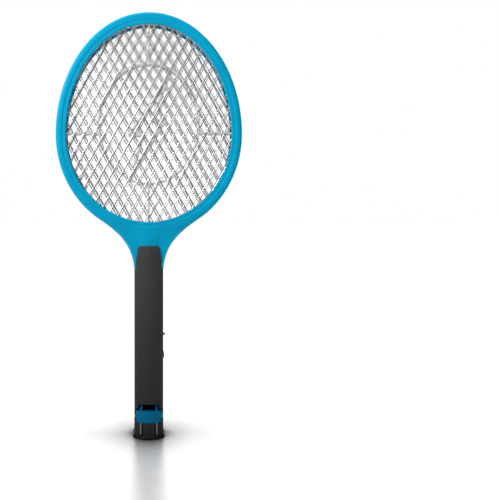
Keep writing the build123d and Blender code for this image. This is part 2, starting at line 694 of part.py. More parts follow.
def slide_switch_body():
    low = SWITCH_Z - SWITCH_HALF_L
    body = box(SWITCH_X0, SWITCH_X1, SWITCH_FRONT_Y, BOARD_Y, low, SWITCH_Z + SWITCH_HALF_L)
    half_w = SWITCH_WELL_HALF_W
    half_l = SWITCH_WELL_HALF_L
    return body - box(SWITCH_WELL_X, SWITCH_X1 + OVER, -half_w, half_w, SWITCH_Z - half_l, SWITCH_Z + half_l)


def indicator_led():
    out = HANDLE_HALF_W + LED_OUT - LED_R
    lens = rod_x(0, LED_Z, LED_R, LED_BACK_X, out) + Pos(out, 0, LED_Z) * Sphere(LED_R)
    lens += rod_x(0, LED_Z, LED_R + LED_FLANGE_LAP, LED_BACK_X, LED_BACK_X + LED_FLANGE_T)
    for y in (-LED_LEG_Y, LED_LEG_Y):
        lens += rod_x(y, LED_Z, LED_LEG_R, LED_LEG_X, LED_BACK_X + LED_FLANGE_T / 2)
    return lens


def main_board():
    board = box(BOARD_X0, BOARD_X1, BOARD_Y, BOARD_Y + BOARD_T, BOARD_Z0, BOARD_Z1)
    for x, z in BOARD_SCREWS:
        board -= rod_y(x, z, SCREW_R + FIT_GAP, 0, PAST)
    return board


def axial(x, z, r, upright):
    """Body and bent legs of a small axial component on the front of the board."""
    y = BOARD_Y - r - AXIAL_GAP
    reach = BODY_L / 2 + AXIAL_LEG
    part = rod_x(y, z, r, x - BODY_L / 2, x + BODY_L / 2) + rod_x(y, z, LEAD_R, x - reach, x + reach)
    for side in (-1, 1):
        part += rod_y(x + side * (reach - LEAD_R), z, LEAD_R, y, BOARD_Y)
    if upright:
        part = Pos(x, 0, z) * Rot(0, 90, 0) * Pos(-x, 0, -z) * part
    return part


def multiplier_diodes():
    part = Part()
    for x, z in DIODES:
        part += axial(x, z, DIODE_R, True)
    return part


def board_resistors():
    part = axial(*UPRIGHT_RESISTOR, RESISTOR_R, True)
    for x, z in FLAT_RESISTORS:
        part += axial(x, z, RESISTOR_R, False)
    return part


def transformer_box(half_w, half_h, y0, y1):
    """Block centred on the transformer, with depths counted from the bobbin's front."""
    front = BOARD_Y - TRANSFORMER_D
    x = TRANSFORMER_X
    z = TRANSFORMER_Z
    return box(x - half_w, x + half_w, front + y0, front + y1, z - half_h, z + half_h)


def transformer_bobbin():
    inner_w = BOBBIN_HALF_W - BOBBIN_WALL
    bobbin = transformer_box(BOBBIN_HALF_W, BOBBIN_HALF_H, 0, TRANSFORMER_D)
    bobbin -= transformer_box(inner_w, PAST, -OVER, TRANSFORMER_D - BOBBIN_WALL)
    tube_half_h = BOBBIN_HALF_H - BOBBIN_TUBE_STEP
    bobbin += transformer_box(inner_w + FIT_GAP, tube_half_h, BOBBIN_WALL, TRANSFORMER_D - BOBBIN_WALL)
    back = CORE_Y + CORE_D + FIT_GAP
    return bobbin - transformer_box(PAST, CORE_LEG_HALF_H + FIT_GAP, CORE_Y - FIT_GAP, back)


def transformer_winding():
    back = TRANSFORMER_D - BOBBIN_WALL - FIT_GAP
    coil = transformer_box(COIL_HALF_W, COIL_HALF_H, FIT_GAP, back)
    return coil - transformer_box(PAST, COIL_HOLE_HALF_H, BOBBIN_WALL - FIT_GAP, TRANSFORMER_D)


def transformer_core():
    back = CORE_Y + CORE_D
    core = transformer_box(CORE_HALF_W, CORE_HALF_H, CORE_Y, back)
    window = transformer_box(CORE_WINDOW_HALF_W, CORE_WINDOW_HALF_H, 0, TRANSFORMER_D)
    return core - (window - transformer_box(PAST, CORE_LEG_HALF_H, 0, TRANSFORMER_D))


def high_voltage_capacitor():
    low = CAPACITOR_Z - CAPACITOR_HALF_H
    back = BOARD_Y - AXIAL_GAP
    body = box(CAPACITOR_X0, CAPACITOR_X1, BOARD_Y - CAPACITOR_D, back, low, CAPACITOR_Z + CAPACITOR_HALF_H)
    body = fillet(body.edges(), OVER)
    middle = (CAPACITOR_X0 + CAPACITOR_X1) / 2
    for x in (middle - CAPACITOR_LEG_X, middle + CAPACITOR_LEG_X):
        body += rod_y(x, CAPACITOR_Z, LEAD_R, BOARD_Y - OVER, BOARD_Y)
    return body


def oscillator_transistor():
    x, z = TRANSISTOR
    y = BOARD_Y - TRANSISTOR_Y
    body = rod_z(x, y, TRANSISTOR_R, z, z + TRANSISTOR_L)
    body -= box(-PAST, PAST, y + TRANSISTOR_FLAT, PAST, z - OVER, z + TRANSISTOR_L + OVER)
    foot = z - TRANSISTOR_LEG_L
    return body + rod_z(x, y, LEAD_R, foot, z + FIT_GAP) + rod_y(x, foot + LEAD_R, LEAD_R, y, BOARD_Y)


def charger_board():
    return box(-CHARGER_HALF_W, CHARGER_HALF_W, CHARGER_Y0, CHARGER_Y0 + BOARD_T, CHARGER_Z0, CHARGER_Z1)


def dropper_capacitor():
    body = box(-DROPPER_HALF_W, DROPPER_HALF_W, *DROPPER_Y, *DROPPER_Z)
    return fillet(body.edges(), DROPPER_R)


def bridge_diodes():
    part = Part()
    for z in BRIDGE_ROWS:
        for x in (-BRIDGE_X, BRIDGE_X):
            part += rod_x(BRIDGE_Y, z, BRIDGE_R, x - BRIDGE_HALF_L, x + BRIDGE_HALF_L)
            part += rod_x(BRIDGE_Y, z, LEAD_R, x - BRIDGE_LEG_HALF_L, x + BRIDGE_LEG_HALF_L)
    return part


def battery_cells():
    """Two cells side by side, one upside down."""
    part = Part()
    top = CELL_Z0 + CELL_L
    for x, nub in ((CELL_X, top), (-CELL_X, CELL_Z0 - NUB_H)):
        cell = rod_z(x, 0, CELL_R, CELL_Z0, top)
        part += fillet(cell.edges(), CELL_EDGE_R)
        part += rod_z(x, 0, NUB_R, nub - FIT_GAP, nub + NUB_H + FIT_GAP)
    return part


def battery_links():
    """Nickel strips: one joins the cells at the top, two are the lower tabs."""
    top = CELL_Z0 + CELL_L + NUB_H + FIT_GAP
    bottom = CELL_Z0 - NUB_H - FIT_GAP
    half = LINK_HALF_W
    part = box(-CELL_X - half, CELL_X + half, -half, half, top, top + LINK_T)
    for x in (-CELL_X, CELL_X):
        part += box(x - half, x + half, -half, TAB_BACK_Y, bottom - LINK_T, bottom)
    return part


def battery_cradle():
    """Trough that the cells lie in, fixed to the rear shell."""
    z0 = CELL_Z0 + CRADLE_END
    z1 = CELL_Z0 + CELL_L - CRADLE_END
    base = box(-CRADLE_HALF_W, CRADLE_HALF_W, CRADLE_FRONT_Y, CRADLE_BACK_Y, z0, z1)
    base -= box(-CRADLE_HOLLOW_HALF_W, CRADLE_HOLLOW_HALF_W, CRADLE_HOLLOW_Y, PAST, 0, 2 * PAST)
    for x in (-CELL_X, CELL_X):
        base -= rod_z(x, 0, CELL_R + RUNNING, 0, 2 * PAST)
    return base & extrude(handle_section(WALL + FIT_GAP), amount=2 * PAST)


def wire(points):
    """Insulated lead along straight runs joined by the largest arcs they allow."""
    corners = [Vector(*point) for point in points]
    radii = []
    for before, corner, after in zip(corners, corners[1:], corners[2:]):
        turn = math.radians((corner - before).get_angle(after - corner))
        shorter = min((corner - before).length, (after - corner).length)
        radii.append(ARC_SHARE * shorter / math.tan(turn / 2))
    path = FilletPolyline(*points, radius=radii)
    return sweep(Plane(path @ 0, z_dir=path % 0) * Circle(WIRE_R), path=path)


HIGH_VOLTAGE_ROUTE = ((5.0, 1.4, 181), (6.2, 0.8, 189), (6.8, 0.2, 198), (6.4, 0.1, 212),
                      (4.4, 0.0, 226), (1.6, 0.0, 238), (0.4, 0.0, 250))
FRONT_GROUND_ROUTE = ((-8, 1.4, 181), (-8.4, -2, 189), (-9.5, -5.4, 198), (-10.5, -6.6, 212),
                      (-10.5, -6.4, 226), (-9.6, -6.4, 238), (-9.2, -6.4, 250))
REAR_GROUND_ROUTE = ((8, 5.6, 181), (8.6, 6.2, 189), (9.5, 6.8, 198), (10.5, 6.8, 212),
                     (10.5, 6.4, 226), (9.6, 6.4, 238), (9.2, 6.4, 250))
BATTERY_ROUTE = ((5.6, 5.4, 102), (5.7, 8.4, 94), (5.9, 11.0, 86), (6.0, 11.4, 76),
                 (6.2, 11.4, 66), (6.5, 10.6, 56), (6.9, 8.0, 48.6))
CHARGER_ROUTE = ((4.5, 12.2, 37.8), (4.7, 12.5, 42.2), (5.4, 10.6, 45.4), (6.4, 6.6, 46.8))


def both_sides(route):
    """The route and its mirror image on the left."""
    return (route, tuple((-x, y, z) for x, y, z in route))


def wires(routes):
    part = Part()
    for route in routes:
        part += wire(route)
    return part


def screw(x, z, head_y, tip_y):
    """Pan-head screw driven from the rear towards the front."""
    head = rod_y(x, z, HEAD_R, head_y - HEAD_H, head_y)
    cross = Part()
    for half_w, half_h in ((CROSS_HALF_L, CROSS_HALF_W), (CROSS_HALF_W, CROSS_HALF_L)):
        cross += box(x - half_w, x + half_w, head_y - CROSS_DEPTH, head_y + OVER, z - half_h, z + half_h)
    return head + rod_y(x, z, SCREW_R, head_y - HEAD_H, tip_y) - cross


def frame_screws():
    part = Part()
    for x, z in boss_places():
        part += screw(x, z, FRAME_HALF_D - FRAME_SINK, FRAME_TIP_Y)
    return part


def handle_screws():
    part = Part()
    for x, z in HANDLE_SCREWS:
        part += screw(x, z, HANDLE_HALF_D - HANDLE_SINK, HANDLE_TIP_Y)
    return part


def board_posts():
    """Posts of the rear shell that carry the main board."""
    part = Part()
    for x, z in BOARD_SCREWS:
        back = BOARD_Y + BOARD_T
        part += rod_y(x, z, POST_R, back, HANDLE_HALF_D - WALL / 2) - rod_y(x, z, SCREW_R, 0, back + POST_HOLE)
    return part


def board_screws():
    part = Part()
    for x, z in BOARD_SCREWS:
        part += rod_y(x, z, BOARD_HEAD_R, BOARD_Y - HEAD_H, BOARD_Y)
        part += rod_y(x, z, SCREW_R, BOARD_Y - FIT_GAP, BOARD_Y + BOARD_T + BOARD_TIP)
    return part


def parts():
    made = {}
    made["front_frame_shell"] = frame_half(False)
    made["rear_frame_shell"] = rear(frame_half(True))
    made["front_guard_grid"] = grid_sheet(-GUARD_Y, (0.0, 0.0))
    made["high_voltage_grid"] = grid_sheet(0.0, (0.5, 0.25))
    made["rear_guard_grid"] = grid_sheet(GUARD_Y, (0.0, 0.0))
    made["front_brace"] = brace()
    made["rear_brace"] = rear(brace())
    made["handle_front_shell"] = handle_front()
    made["handle_rear_shell"] = rear(handle_half(True)) + board_posts()
    made["end_cap"] = end_cap()
    made["plug_block"] = plug_block()
    made["plug_pin_left"] = plug_pin(-PIN_X)
    made["plug_pin_right"] = plug_pin(PIN_X)
    made["plug_axle"] = rod_x(PLUG_PIVOT_Y, PLUG_PIVOT_Z, AXLE_R, -AXLE_HALF_L, AXLE_HALF_L)
    made["contact_carrier"] = contact_carrier()
    made["plug_contacts"] = plug_contacts()
    made["push_button"] = push_button()
    made["button_spring"] = button_spring()
    made["button_switch"] = button_switch()
    made["slide_knob"] = slide_knob()
    made["slide_switch_body"] = slide_switch_body()
    made["indicator_led"] = indicator_led()
    made["main_board"] = main_board()
    made["transformer_bobbin"] = transformer_bobbin()
    made["transformer_winding"] = transformer_winding()
    made["transformer_core"] = transformer_core()
    made["high_voltage_capacitor"] = high_voltage_capacitor()
    made["multiplier_diodes"] = multiplier_diodes()
    made["oscillator_transistor"] = oscillator_transistor()
    made["board_resistors"] = board_resistors()
    made["charger_board"] = charger_board()
    made["dropper_capacitor"] = dropper_capacitor()
    made["bridge_diodes"] = bridge_diodes()
    made["battery_cells"] = battery_cells()
    made["battery_links"] = battery_links()
    made["battery_cradle"] = battery_cradle()
    made["high_voltage_lead"] = wire(HIGH_VOLTAGE_ROUTE)
    made["front_ground_lead"] = wire(FRONT_GROUND_ROUTE)
    made["rear_ground_lead"] = wire(REAR_GROUND_ROUTE)
    made["battery_leads"] = wires(both_sides(BATTERY_ROUTE))
    made["charger_leads"] = wires(both_sides(CHARGER_ROUTE))
    made["frame_screws"] = frame_screws()
    made["handle_screws"] = handle_screws()
    made["board_screws"] = board_screws()
    return made


os.makedirs("parts", exist_ok=True)
for name, part in parts().items():
    export_step(part, f"parts/{name}.step")
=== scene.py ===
import json
import math

import bmesh
import bpy
import numpy as np
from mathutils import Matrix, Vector


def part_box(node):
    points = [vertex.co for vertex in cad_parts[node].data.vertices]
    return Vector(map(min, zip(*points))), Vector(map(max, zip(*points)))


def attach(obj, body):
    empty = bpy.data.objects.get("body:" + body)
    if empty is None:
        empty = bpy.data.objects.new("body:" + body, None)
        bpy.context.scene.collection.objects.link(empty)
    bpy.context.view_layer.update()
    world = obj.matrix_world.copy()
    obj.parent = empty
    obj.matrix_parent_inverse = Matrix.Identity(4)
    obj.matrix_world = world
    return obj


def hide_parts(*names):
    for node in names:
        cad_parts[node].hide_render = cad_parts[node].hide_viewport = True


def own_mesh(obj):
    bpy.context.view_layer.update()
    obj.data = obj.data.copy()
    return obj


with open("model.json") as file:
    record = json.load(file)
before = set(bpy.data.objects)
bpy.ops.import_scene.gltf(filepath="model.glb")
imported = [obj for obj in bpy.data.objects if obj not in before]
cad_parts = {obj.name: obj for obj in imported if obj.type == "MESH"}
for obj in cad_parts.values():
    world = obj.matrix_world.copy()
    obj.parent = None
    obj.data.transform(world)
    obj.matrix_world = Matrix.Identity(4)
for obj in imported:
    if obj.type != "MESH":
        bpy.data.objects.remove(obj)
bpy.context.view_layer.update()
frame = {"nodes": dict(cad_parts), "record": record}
NODES = frame["nodes"]
SLOT_OF = {s["node"]: s["material_slot"] for s in frame["record"]["subparts"]}
BODY_OF = {n: b for b, members in frame["record"]["behaviour"]["bodies"].items() for n in members}
JOINTS = {joint["name"]: joint for joint in frame["record"]["behaviour"]["joints"]}

MM = 0.001

# ---- sizes that several pieces share, from the frame where it has them -------------------
HEAD_LO, HEAD_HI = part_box("front_frame_shell")
GUARD_LO, GUARD_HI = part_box("front_guard_grid")
BRACE_LO, BRACE_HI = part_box("front_brace")
HALF_W = HEAD_HI.x
TOP_Z = HEAD_HI.z
RIM_OUT = 4.6 * MM  # the rims of the grids reach this far under the frame
OPEN_HALF_W = GUARD_HI.x - RIM_OUT
OPEN_UP = 131 * MM  # the opening's reach above the head's widest line
OPEN_DOWN = 105 * MM  # and below it
CENTRE_Z = GUARD_HI.z - RIM_OUT - OPEN_UP  # height of the head's widest line
OUT_UP = TOP_Z - CENTRE_Z
OUT_DOWN = 120 * MM
HEAD_D = 10 * MM  # half depth of the head
NECK_D = -HEAD_LO.y  # half depth where the neck meets the handle
NECK_HALF_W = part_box("handle_front_shell")[1].x
WALL = 2 * MM

CROWN = 0.36  # at its sides the handle's front loses 0.71 of this share of its depth
CROWN_FADE = (228 * MM, 262 * MM)  # the crown dies out up the neck


# ---- small helpers -----------------------------------------------------------------------
def soft_step(value, low, high):
    t = np.clip((value - low) / (high - low), 0, 1)
    return t * t * (3 - 2 * t)


def quarter_round(share):
    """Fall of a quarter circle: 0 where share is 0, and 1 where it is 1."""
    return 1 - np.sqrt(np.clip(1 - share ** 2, 0, 1))


def crown(x, z):
    """Share of the flat front's depth that is left at a place across the handle."""
    across = (x / NECK_HALF_W) ** 2
    return 1 - CROWN * across / np.sqrt(1 + across ** 2) * (1 - soft_step(z, *CROWN_FADE))


def new_object(name, data):
    obj = bpy.data.objects.new(name, data)
    bpy.context.scene.collection.objects.link(obj)
    return obj


def smooth_by_angle(obj, degrees):
    """Smooth shading, with edges sharper than the angle kept crisp."""
    mesh = obj.data
    mesh.polygons.foreach_set("use_smooth", [True] * len(mesh.polygons))
    bm = bmesh.new()
    bm.from_mesh(mesh)
    limit = math.radians(degrees)
    for edge in bm.edges:
        edge.smooth = len(edge.link_faces) == 2 and edge.calc_face_angle(0) < limit
    bm.to_mesh(mesh)
    bm.free()


def object_from(name, verts, faces):
    """A closed solid from points and faces, with its faces turned outward."""
    mesh = bpy.data.meshes.new(name)
    mesh.from_pydata(verts, [], faces)
    mesh.validate()
    mesh.update()
    bm = bmesh.new()
    bm.from_mesh(mesh)
    bmesh.ops.recalc_face_normals(bm, faces=bm.faces)
    bm.to_mesh(mesh)
    bm.free()
    return new_object(name, mesh)


def object_from_bmesh(name, bm, smooth_degrees):
    """A smoothed solid from a bmesh, which is used up."""
    bmesh.ops.recalc_face_normals(bm, faces=bm.faces)
    mesh = bpy.data.meshes.new(name)
    bm.to_mesh(mesh)
    bm.free()
    obj = new_object(name, mesh)
    smooth_by_angle(obj, smooth_degrees)
    return obj


def skin_rings(bm, rings, closed):
    """Faces between neighbouring rings of vertices, with end caps unless the rings close up."""
    pairs = list(zip(rings, rings[1:]))
    if closed:
        pairs.append((rings[-1], rings[0]))
    for a, b in pairs:
        for k in range(len(a)):
            m = (k + 1) % len(a)
            bm.faces.new((a[k], a[m], b[m], b[k]))
    if not closed:
        bm.faces.new(rings[0][::-1])
        bm.faces.new(rings[-1])


WELD_GAP = 0.002 * MM


def welded(node):
    """A bmesh of a CAD node, with its faces joined along their edges."""
    bm = bmesh.new()
    bm.from_mesh(NODES[node].data)
    bmesh.ops.remove_doubles(bm, verts=bm.verts, dist=WELD_GAP)
    return bm


# ---- materials ---------------------------------------------------------------------------
class Shader:
    """A small builder for node materials."""

    def __init__(self, name, **sockets):
        self.material = bpy.data.materials.new(name)
        self.material.use_nodes = True
        self.nodes = self.material.node_tree.nodes
        self.links = self.material.node_tree.links
        self.nodes.clear()
        self.bsdf = self.nodes.new("ShaderNodeBsdfPrincipled")
        out = self.nodes.new("ShaderNodeOutputMaterial")
        self.links.new(self.bsdf.outputs["BSDF"], out.inputs["Surface"])
        coords = self.nodes.new("ShaderNodeTexCoord")
        self.place = coords.outputs["Object"]
        for socket, value in sockets.items():
            self.bsdf.inputs[socket.replace("_", " ")].default_value = value

    def stretched(self, scale):
        """Object coordinates, scaled differently along each axis."""
        mapping = self.nodes.new("ShaderNodeMapping")
        mapping.inputs["Scale"].default_value = scale
        self.links.new(self.place, mapping.inputs["Vector"])
        return mapping.outputs["Vector"]

    def noise(self, scale, detail=4, where=None):
        """Soft blotches. scale is how many fit in a metre."""
        node = self.nodes.new("ShaderNodeTexNoise")
        node.inputs["Scale"].default_value = scale
        node.inputs["Detail"].default_value = detail
        self.links.new(where or self.place, node.inputs["Vector"])
        return node.outputs["Fac"]

    def cells(self, scale, feature="F1"):
        """Distance to the nearest cell's centre or edge. scale is cells in a metre."""
        node = self.nodes.new("ShaderNodeTexVoronoi")
        node.feature = feature
        node.inputs["Scale"].default_value = scale
        self.links.new(self.place, node.inputs["Vector"])
        return node.outputs["Distance"]

    def ramp(self, value, stops):
        node = self.nodes.new("ShaderNodeValToRGB")
        elements = node.color_ramp.elements
        while len(elements) < len(stops):
            elements.new(0.5)
        for element, (at, colour) in zip(elements, stops):
            element.position = at
            element.color = (*colour, 1.0)
        self.links.new(value, node.inputs["Fac"])
        return node.outputs["Color"]

    def mask(self, value, full_at, none_at):
        """1 up to full_at, falling to 0 at none_at."""
        return self.ramp(value, [(full_at, (1, 1, 1)), (none_at, (0, 0, 0))])

    def between(self, value, low, high):
        """Map a 0 to 1 value to a range."""
        node = self.nodes.new("ShaderNodeMapRange")
        node.inputs["To Min"].default_value = low
        node.inputs["To Max"].default_value = high
        self.links.new(value, node.inputs["Value"])
        return node.outputs["Result"]

    def mixed(self, factor, under, colour):
        """The colour laid over what is under it, by a factor."""
        node = self.nodes.new("ShaderNodeMix")
        node.data_type = "RGBA"
        self.links.new(factor, node.inputs[0])
        self.links.new(under, node.inputs[6])
        node.inputs[7].default_value = (*colour, 1.0)
        return node.outputs[2]

    def colour(self, value):
        self.links.new(value, self.bsdf.inputs["Base Color"])

    def roughness(self, value):
        self.links.new(value, self.bsdf.inputs["Roughness"])

    def bump(self, value, strength, distance):
        """Relief, added to any relief that the material already has."""
        node = self.nodes.new("ShaderNodeBump")
        node.inputs["Strength"].default_value = strength
        node.inputs["Distance"].default_value = distance
        self.links.new(value, node.inputs["Height"])
        previous = self.bsdf.inputs["Normal"]
        if previous.is_linked:
            self.links.new(previous.links[0].from_socket, node.inputs["Normal"])
        self.links.new(node.outputs["Normal"], previous)


def tint(colour, factor):
    return tuple(min(1.0, c * factor) for c in colour)


def moulded(name, colour, rough=(0.28, 0.38), grain=2600, depth=0.02, drift=0.05, shine=0.3):
    """Injection-moulded plastic: faint flow marks, spark-eroded grain and slight tone drift."""
    shader = Shader(name, IOR=1.5, Specular_IOR_Level=shine)
    cloud = shader.noise(28, detail=3)
    fleck = shader.noise(900, detail=2)
    base = shader.ramp(cloud, [(0.3, tint(colour, 1 - drift)), (0.7, tint(colour, 1 + drift))])
    shader.colour(shader.mixed(shader.between(fleck, 0.0, 0.1), base, tint(colour, 1.2)))
    shader.roughness(shader.between(shader.noise(160, detail=5), *rough))
    shader.bump(shader.noise(grain, detail=2), 0.25, depth * MM)
    shader.bump(shader.noise(45, detail=1), 0.08, 0.15 * MM)
    return shader.material


def soft_touch(name, colour):
    """Matte rubbery lacquer with a fine pebble grain, and painted shade low down on the handle."""
    shader = Shader(name, IOR=1.45, Specular_IOR_Level=0.2)
    cloud = shader.noise(35, detail=4)
    pebble = shader.cells(2400)
    base = shader.ramp(cloud, [(0.25, tint(colour, 0.88)), (0.75, tint(colour, 1.1))])
    grained = shader.mixed(shader.between(pebble, 0.0, 0.35), base, tint(colour, 0.7))
    height = shader.nodes.new("ShaderNodeSeparateXYZ")
    shader.links.new(shader.place, height.inputs[0])
    # painted shade: the colour darkens toward the foot, standing in for light falling off low down
    painted_foot_shade = shader.mask(height.outputs["Z"], 0.03, 0.2)
    shader.colour(shader.mixed(painted_foot_shade, grained, tint(colour, 0.5)))
    shader.roughness(shader.between(shader.noise(220, detail=4), 0.5, 0.66))
    shader.bump(pebble, 0.3, 0.03 * MM)
    shader.bump(shader.noise(60, detail=1), 0.06, 0.15 * MM)
    return shader.material


def metal(name, colour, rough=(0.2, 0.4), streak=(3000, 3000, 60), depth=0.01):
    """Metal with fine drawing marks along its length and a little tarnish."""
    shader = Shader(name, Metallic=1.0)
    lines = shader.noise(1.0, detail=5, where=shader.stretched(streak))
    stain = shader.noise(90, detail=4)
    tones = [(0.2, tint(colour, 0.82)), (0.65, colour), (0.9, tint(colour, 1.08))]
    shader.colour(shader.ramp(stain, tones))
    shader.roughness(shader.between(lines, *rough))
    shader.bump(lines, 0.2, depth * MM)
    return shader.material


def translucent_white(name, colour):
    """Unpigmented plastic that lets some light into itself."""
    shader = Shader(name, IOR=1.5, Subsurface_Weight=0.25, Subsurface_Scale=1.5 * MM)
    cloud = shader.noise(60, detail=3)
    shader.colour(shader.ramp(cloud, [(0.3, tint(colour, 0.95)), (0.7, tint(colour, 1.04))]))
    shader.roughness(shader.between(shader.noise(240, detail=3), 0.3, 0.5))
    shader.bump(shader.noise(1800, detail=2), 0.2, 0.02 * MM)
    return shader.material


def laminate(name, board, copper):
    """Paper-phenolic board with faint tracks under its mask."""
    shader = Shader(name, IOR=1.5)
    tracks = shader.cells(260, feature="DISTANCE_TO_EDGE")
    fibre = shader.noise(1.0, detail=4, where=shader.stretched((900, 900, 90)))
    base = shader.ramp(fibre, [(0.3, tint(board, 0.85)), (0.7, tint(board, 1.12))])
    shader.colour(shader.mixed(shader.mask(tracks, 0.06, 0.1), base, copper))
    shader.roughness(shader.between(fibre, 0.4, 0.6))
    shader.bump(tracks, 0.3, 0.04 * MM)
    return shader.material


def wound_wire(name, colour):
    """Enamelled wire laid in close turns."""
    shader = Shader(name, Metallic=0.7, Coat_Weight=0.6)
    turns = shader.nodes.new("ShaderNodeTexWave")
    turns.bands_direction = "X"
    turns.inputs["Scale"].default_value = 900
    turns.inputs["Distortion"].default_value = 1.2
    shader.links.new(shader.place, turns.inputs["Vector"])
    shader.colour(shader.ramp(turns.outputs["Fac"], [(0.1, tint(colour, 0.35)), (0.7, colour)]))
    shader.roughness(shader.between(turns.outputs["Fac"], 0.5, 0.25))
    shader.bump(turns.outputs["Fac"], 0.6, 0.1 * MM)
    return shader.material


def lens(name, colour):
    """Tinted diffusing resin of an indicator lamp."""
    shader = Shader(name, IOR=1.52, Transmission_Weight=0.55, Coat_Weight=0.4)
    cloud = shader.noise(700, detail=2)
    shader.colour(shader.ramp(cloud, [(0.3, tint(colour, 0.8)), (0.7, tint(colour, 1.15))]))
    shader.roughness(shader.between(shader.noise(500), 0.08, 0.2))
    return shader.material


BLUE = (0.002, 0.375, 0.63)
PLUG_BLUE = (0.002, 0.17, 0.35)
CHARCOAL = (0.050, 0.054, 0.054)
BLACK = (0.008, 0.008, 0.008)
GRID_GREY = (0.52, 0.52, 0.53)
PIN_GREY = (0.22, 0.22, 0.215)
FERRITE = (0.06, 0.06, 0.07)
BOARD_BROWN = (0.36, 0.21, 0.08)
TRACK_GREEN = (0.10, 0.22, 0.06)

MATERIALS = {
    "frame_plastic": moulded("frame_plastic", BLUE, shine=0.05),
    "plug_plastic": moulded("plug_plastic", PLUG_BLUE, shine=0.04),
    "grid_metal": metal("grid_metal", GRID_GREY, rough=(0.26, 0.38), streak=(800, 800, 800)),
    "brace_plastic": translucent_white("brace_plastic", (0.68, 0.68, 0.67)),
    "handle_plastic": soft_touch("handle_plastic", CHARCOAL),
    "black_plastic": moulded("black_plastic", BLACK, rough=(0.4, 0.55), drift=0.15, shine=0.12),
    "switch_steel": metal("switch_steel", (0.6, 0.6, 0.58)),
    "pin_nickel": metal("pin_nickel", PIN_GREY, rough=(0.3, 0.34), depth=0.0004),
    "steel": metal("steel", (0.56, 0.56, 0.57)),
    "brass": metal("brass", (0.78, 0.6, 0.28)),
    "led_lens": lens("led_lens", (0.05, 0.006, 0.006)),
    "board_laminate": laminate("board_laminate", BOARD_BROWN, TRACK_GREEN),
    "copper": wound_wire("copper", (0.62, 0.24, 0.1)),
    "ferrite": moulded("ferrite", FERRITE, rough=(0.5, 0.7), grain=1500, depth=0.05),
    "capacitor_film": moulded("capacitor_film", (0.33, 0.08, 0.04), rough=(0.15, 0.3)),
    "component_black": moulded("component_black", (0.02, 0.02, 0.02), rough=(0.4, 0.6)),
    "resistor_body": moulded("resistor_body", (0.5, 0.38, 0.22), rough=(0.3, 0.5)),
    "cell_wrap": moulded("cell_wrap", (0.06, 0.22, 0.09), rough=(0.18, 0.3)),
    "lead_red": moulded("lead_red", (0.5, 0.02, 0.02), rough=(0.3, 0.45)),
    "lead_black": moulded("lead_black", (0.02, 0.02, 0.02), rough=(0.3, 0.45)),
}


def dress(obj, node):
    """The piece stands for a CAD node, moves with its body and wears its material."""
    obj.data.materials.clear()
    obj.data.materials.append(MATERIALS[SLOT_OF[node]])
    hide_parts(node)
    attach(obj, BODY_OF[node])


# ---- outlines of head and neck -----------------------------------------------------------
JOIN_DEGREES = 57.3  # below the widest line, where the neck leaves the head
NECK_TOP_Z = 252 * MM
NECK_FOOT_Z = 199 * MM
NECK_END_Z = 190 * MM  # the side's curve is drawn to here and cut at the neck's foot
NECK_PULL_TOP = 33 * MM  # how far the curve keeps the head's direction
NECK_PULL_FOOT = 34 * MM  # and the handle's
NECK_CURVE_STEPS = 160
NECK_FLARE = 0.4 * MM  # the neck's foot is this much wider than the handle, at each side
HEAD_LOOP_POINTS = 380
NECK_LOOP_POINTS = 110


def head_point(half_w, up, down, degrees):
    """Point on the two half-ellipses that share the head's widest line."""
    angle = math.radians(degrees)
    tall = up if math.sin(angle) >= 0 else down
    return np.array((half_w * math.cos(angle), CENTRE_Z + tall * math.sin(angle)))


def rim_point(gap, degrees):
    """Point outside the opening's edge by about a gap."""
    return head_point(OPEN_HALF_W + gap, OPEN_UP + gap, OPEN_DOWN + gap, degrees)


def neck_side():
    """Points down the right-hand side of the neck, from the head to the handle."""
    start = head_point(HALF_W, OUT_UP, OUT_DOWN, -JOIN_DEGREES)
    angle = math.radians(JOIN_DEGREES)
    slope = np.array((-HALF_W * math.sin(angle), -OUT_DOWN * math.cos(angle)))
    slope /= np.linalg.norm(slope)
    pulls = (start, start + slope * NECK_PULL_TOP,
             np.array((NECK_HALF_W, NECK_END_Z + NECK_PULL_FOOT)),
             np.array((NECK_HALF_W, NECK_END_Z)))
    line = []
    for t in np.linspace(0, 1, NECK_CURVE_STEPS + 1):
        weights = ((1 - t) ** 3, 3 * t * (1 - t) ** 2, 3 * t * t * (1 - t), t ** 3)
        point = sum(w * p for w, p in zip(weights, pulls))
        if point[1] < NECK_FOOT_Z:
            break
        line.append(point)
    line.append(np.array((NECK_HALF_W + NECK_FLARE, NECK_FOOT_Z)))
    return np.array(line)


def even_steps(line, count):
    """count points evenly spaced along a line, its ends included."""
    run = np.r_[0, np.cumsum(np.linalg.norm(np.diff(line, axis=0), axis=1))]
    at = np.linspace(0, run[-1], count)
    return np.c_[np.interp(at, run, line[:, 0]), np.interp(at, run, line[:, 1])]


def frame_loops():
    """Matching points round the opening and the outline, and the outline without its foot."""
    degrees = np.linspace(-JOIN_DEGREES, 180 + JOIN_DEGREES, HEAD_LOOP_POINTS)
    outer = [head_point(HALF_W, OUT_UP, OUT_DOWN, d) for d in degrees]
    inner = [rim_point(0, d) for d in degrees]
    right = neck_side()
    left = right * (-1, 1)
    foot_right = np.array(((right[-1][0], NECK_FOOT_Z),))
    neck = even_steps(np.vstack([left, foot_right, right[::-1][1:]]), NECK_LOOP_POINTS)
    turn = np.linspace(180 + JOIN_DEGREES, 360 - JOIN_DEGREES, NECK_LOOP_POINTS)
    below = [rim_point(0, d) for d in turn]
    rounded = np.vstack([right[::-1], outer, left])
    return np.vstack([inner, below[1:-1]]), np.vstack([outer, neck[1:-1]]), rounded


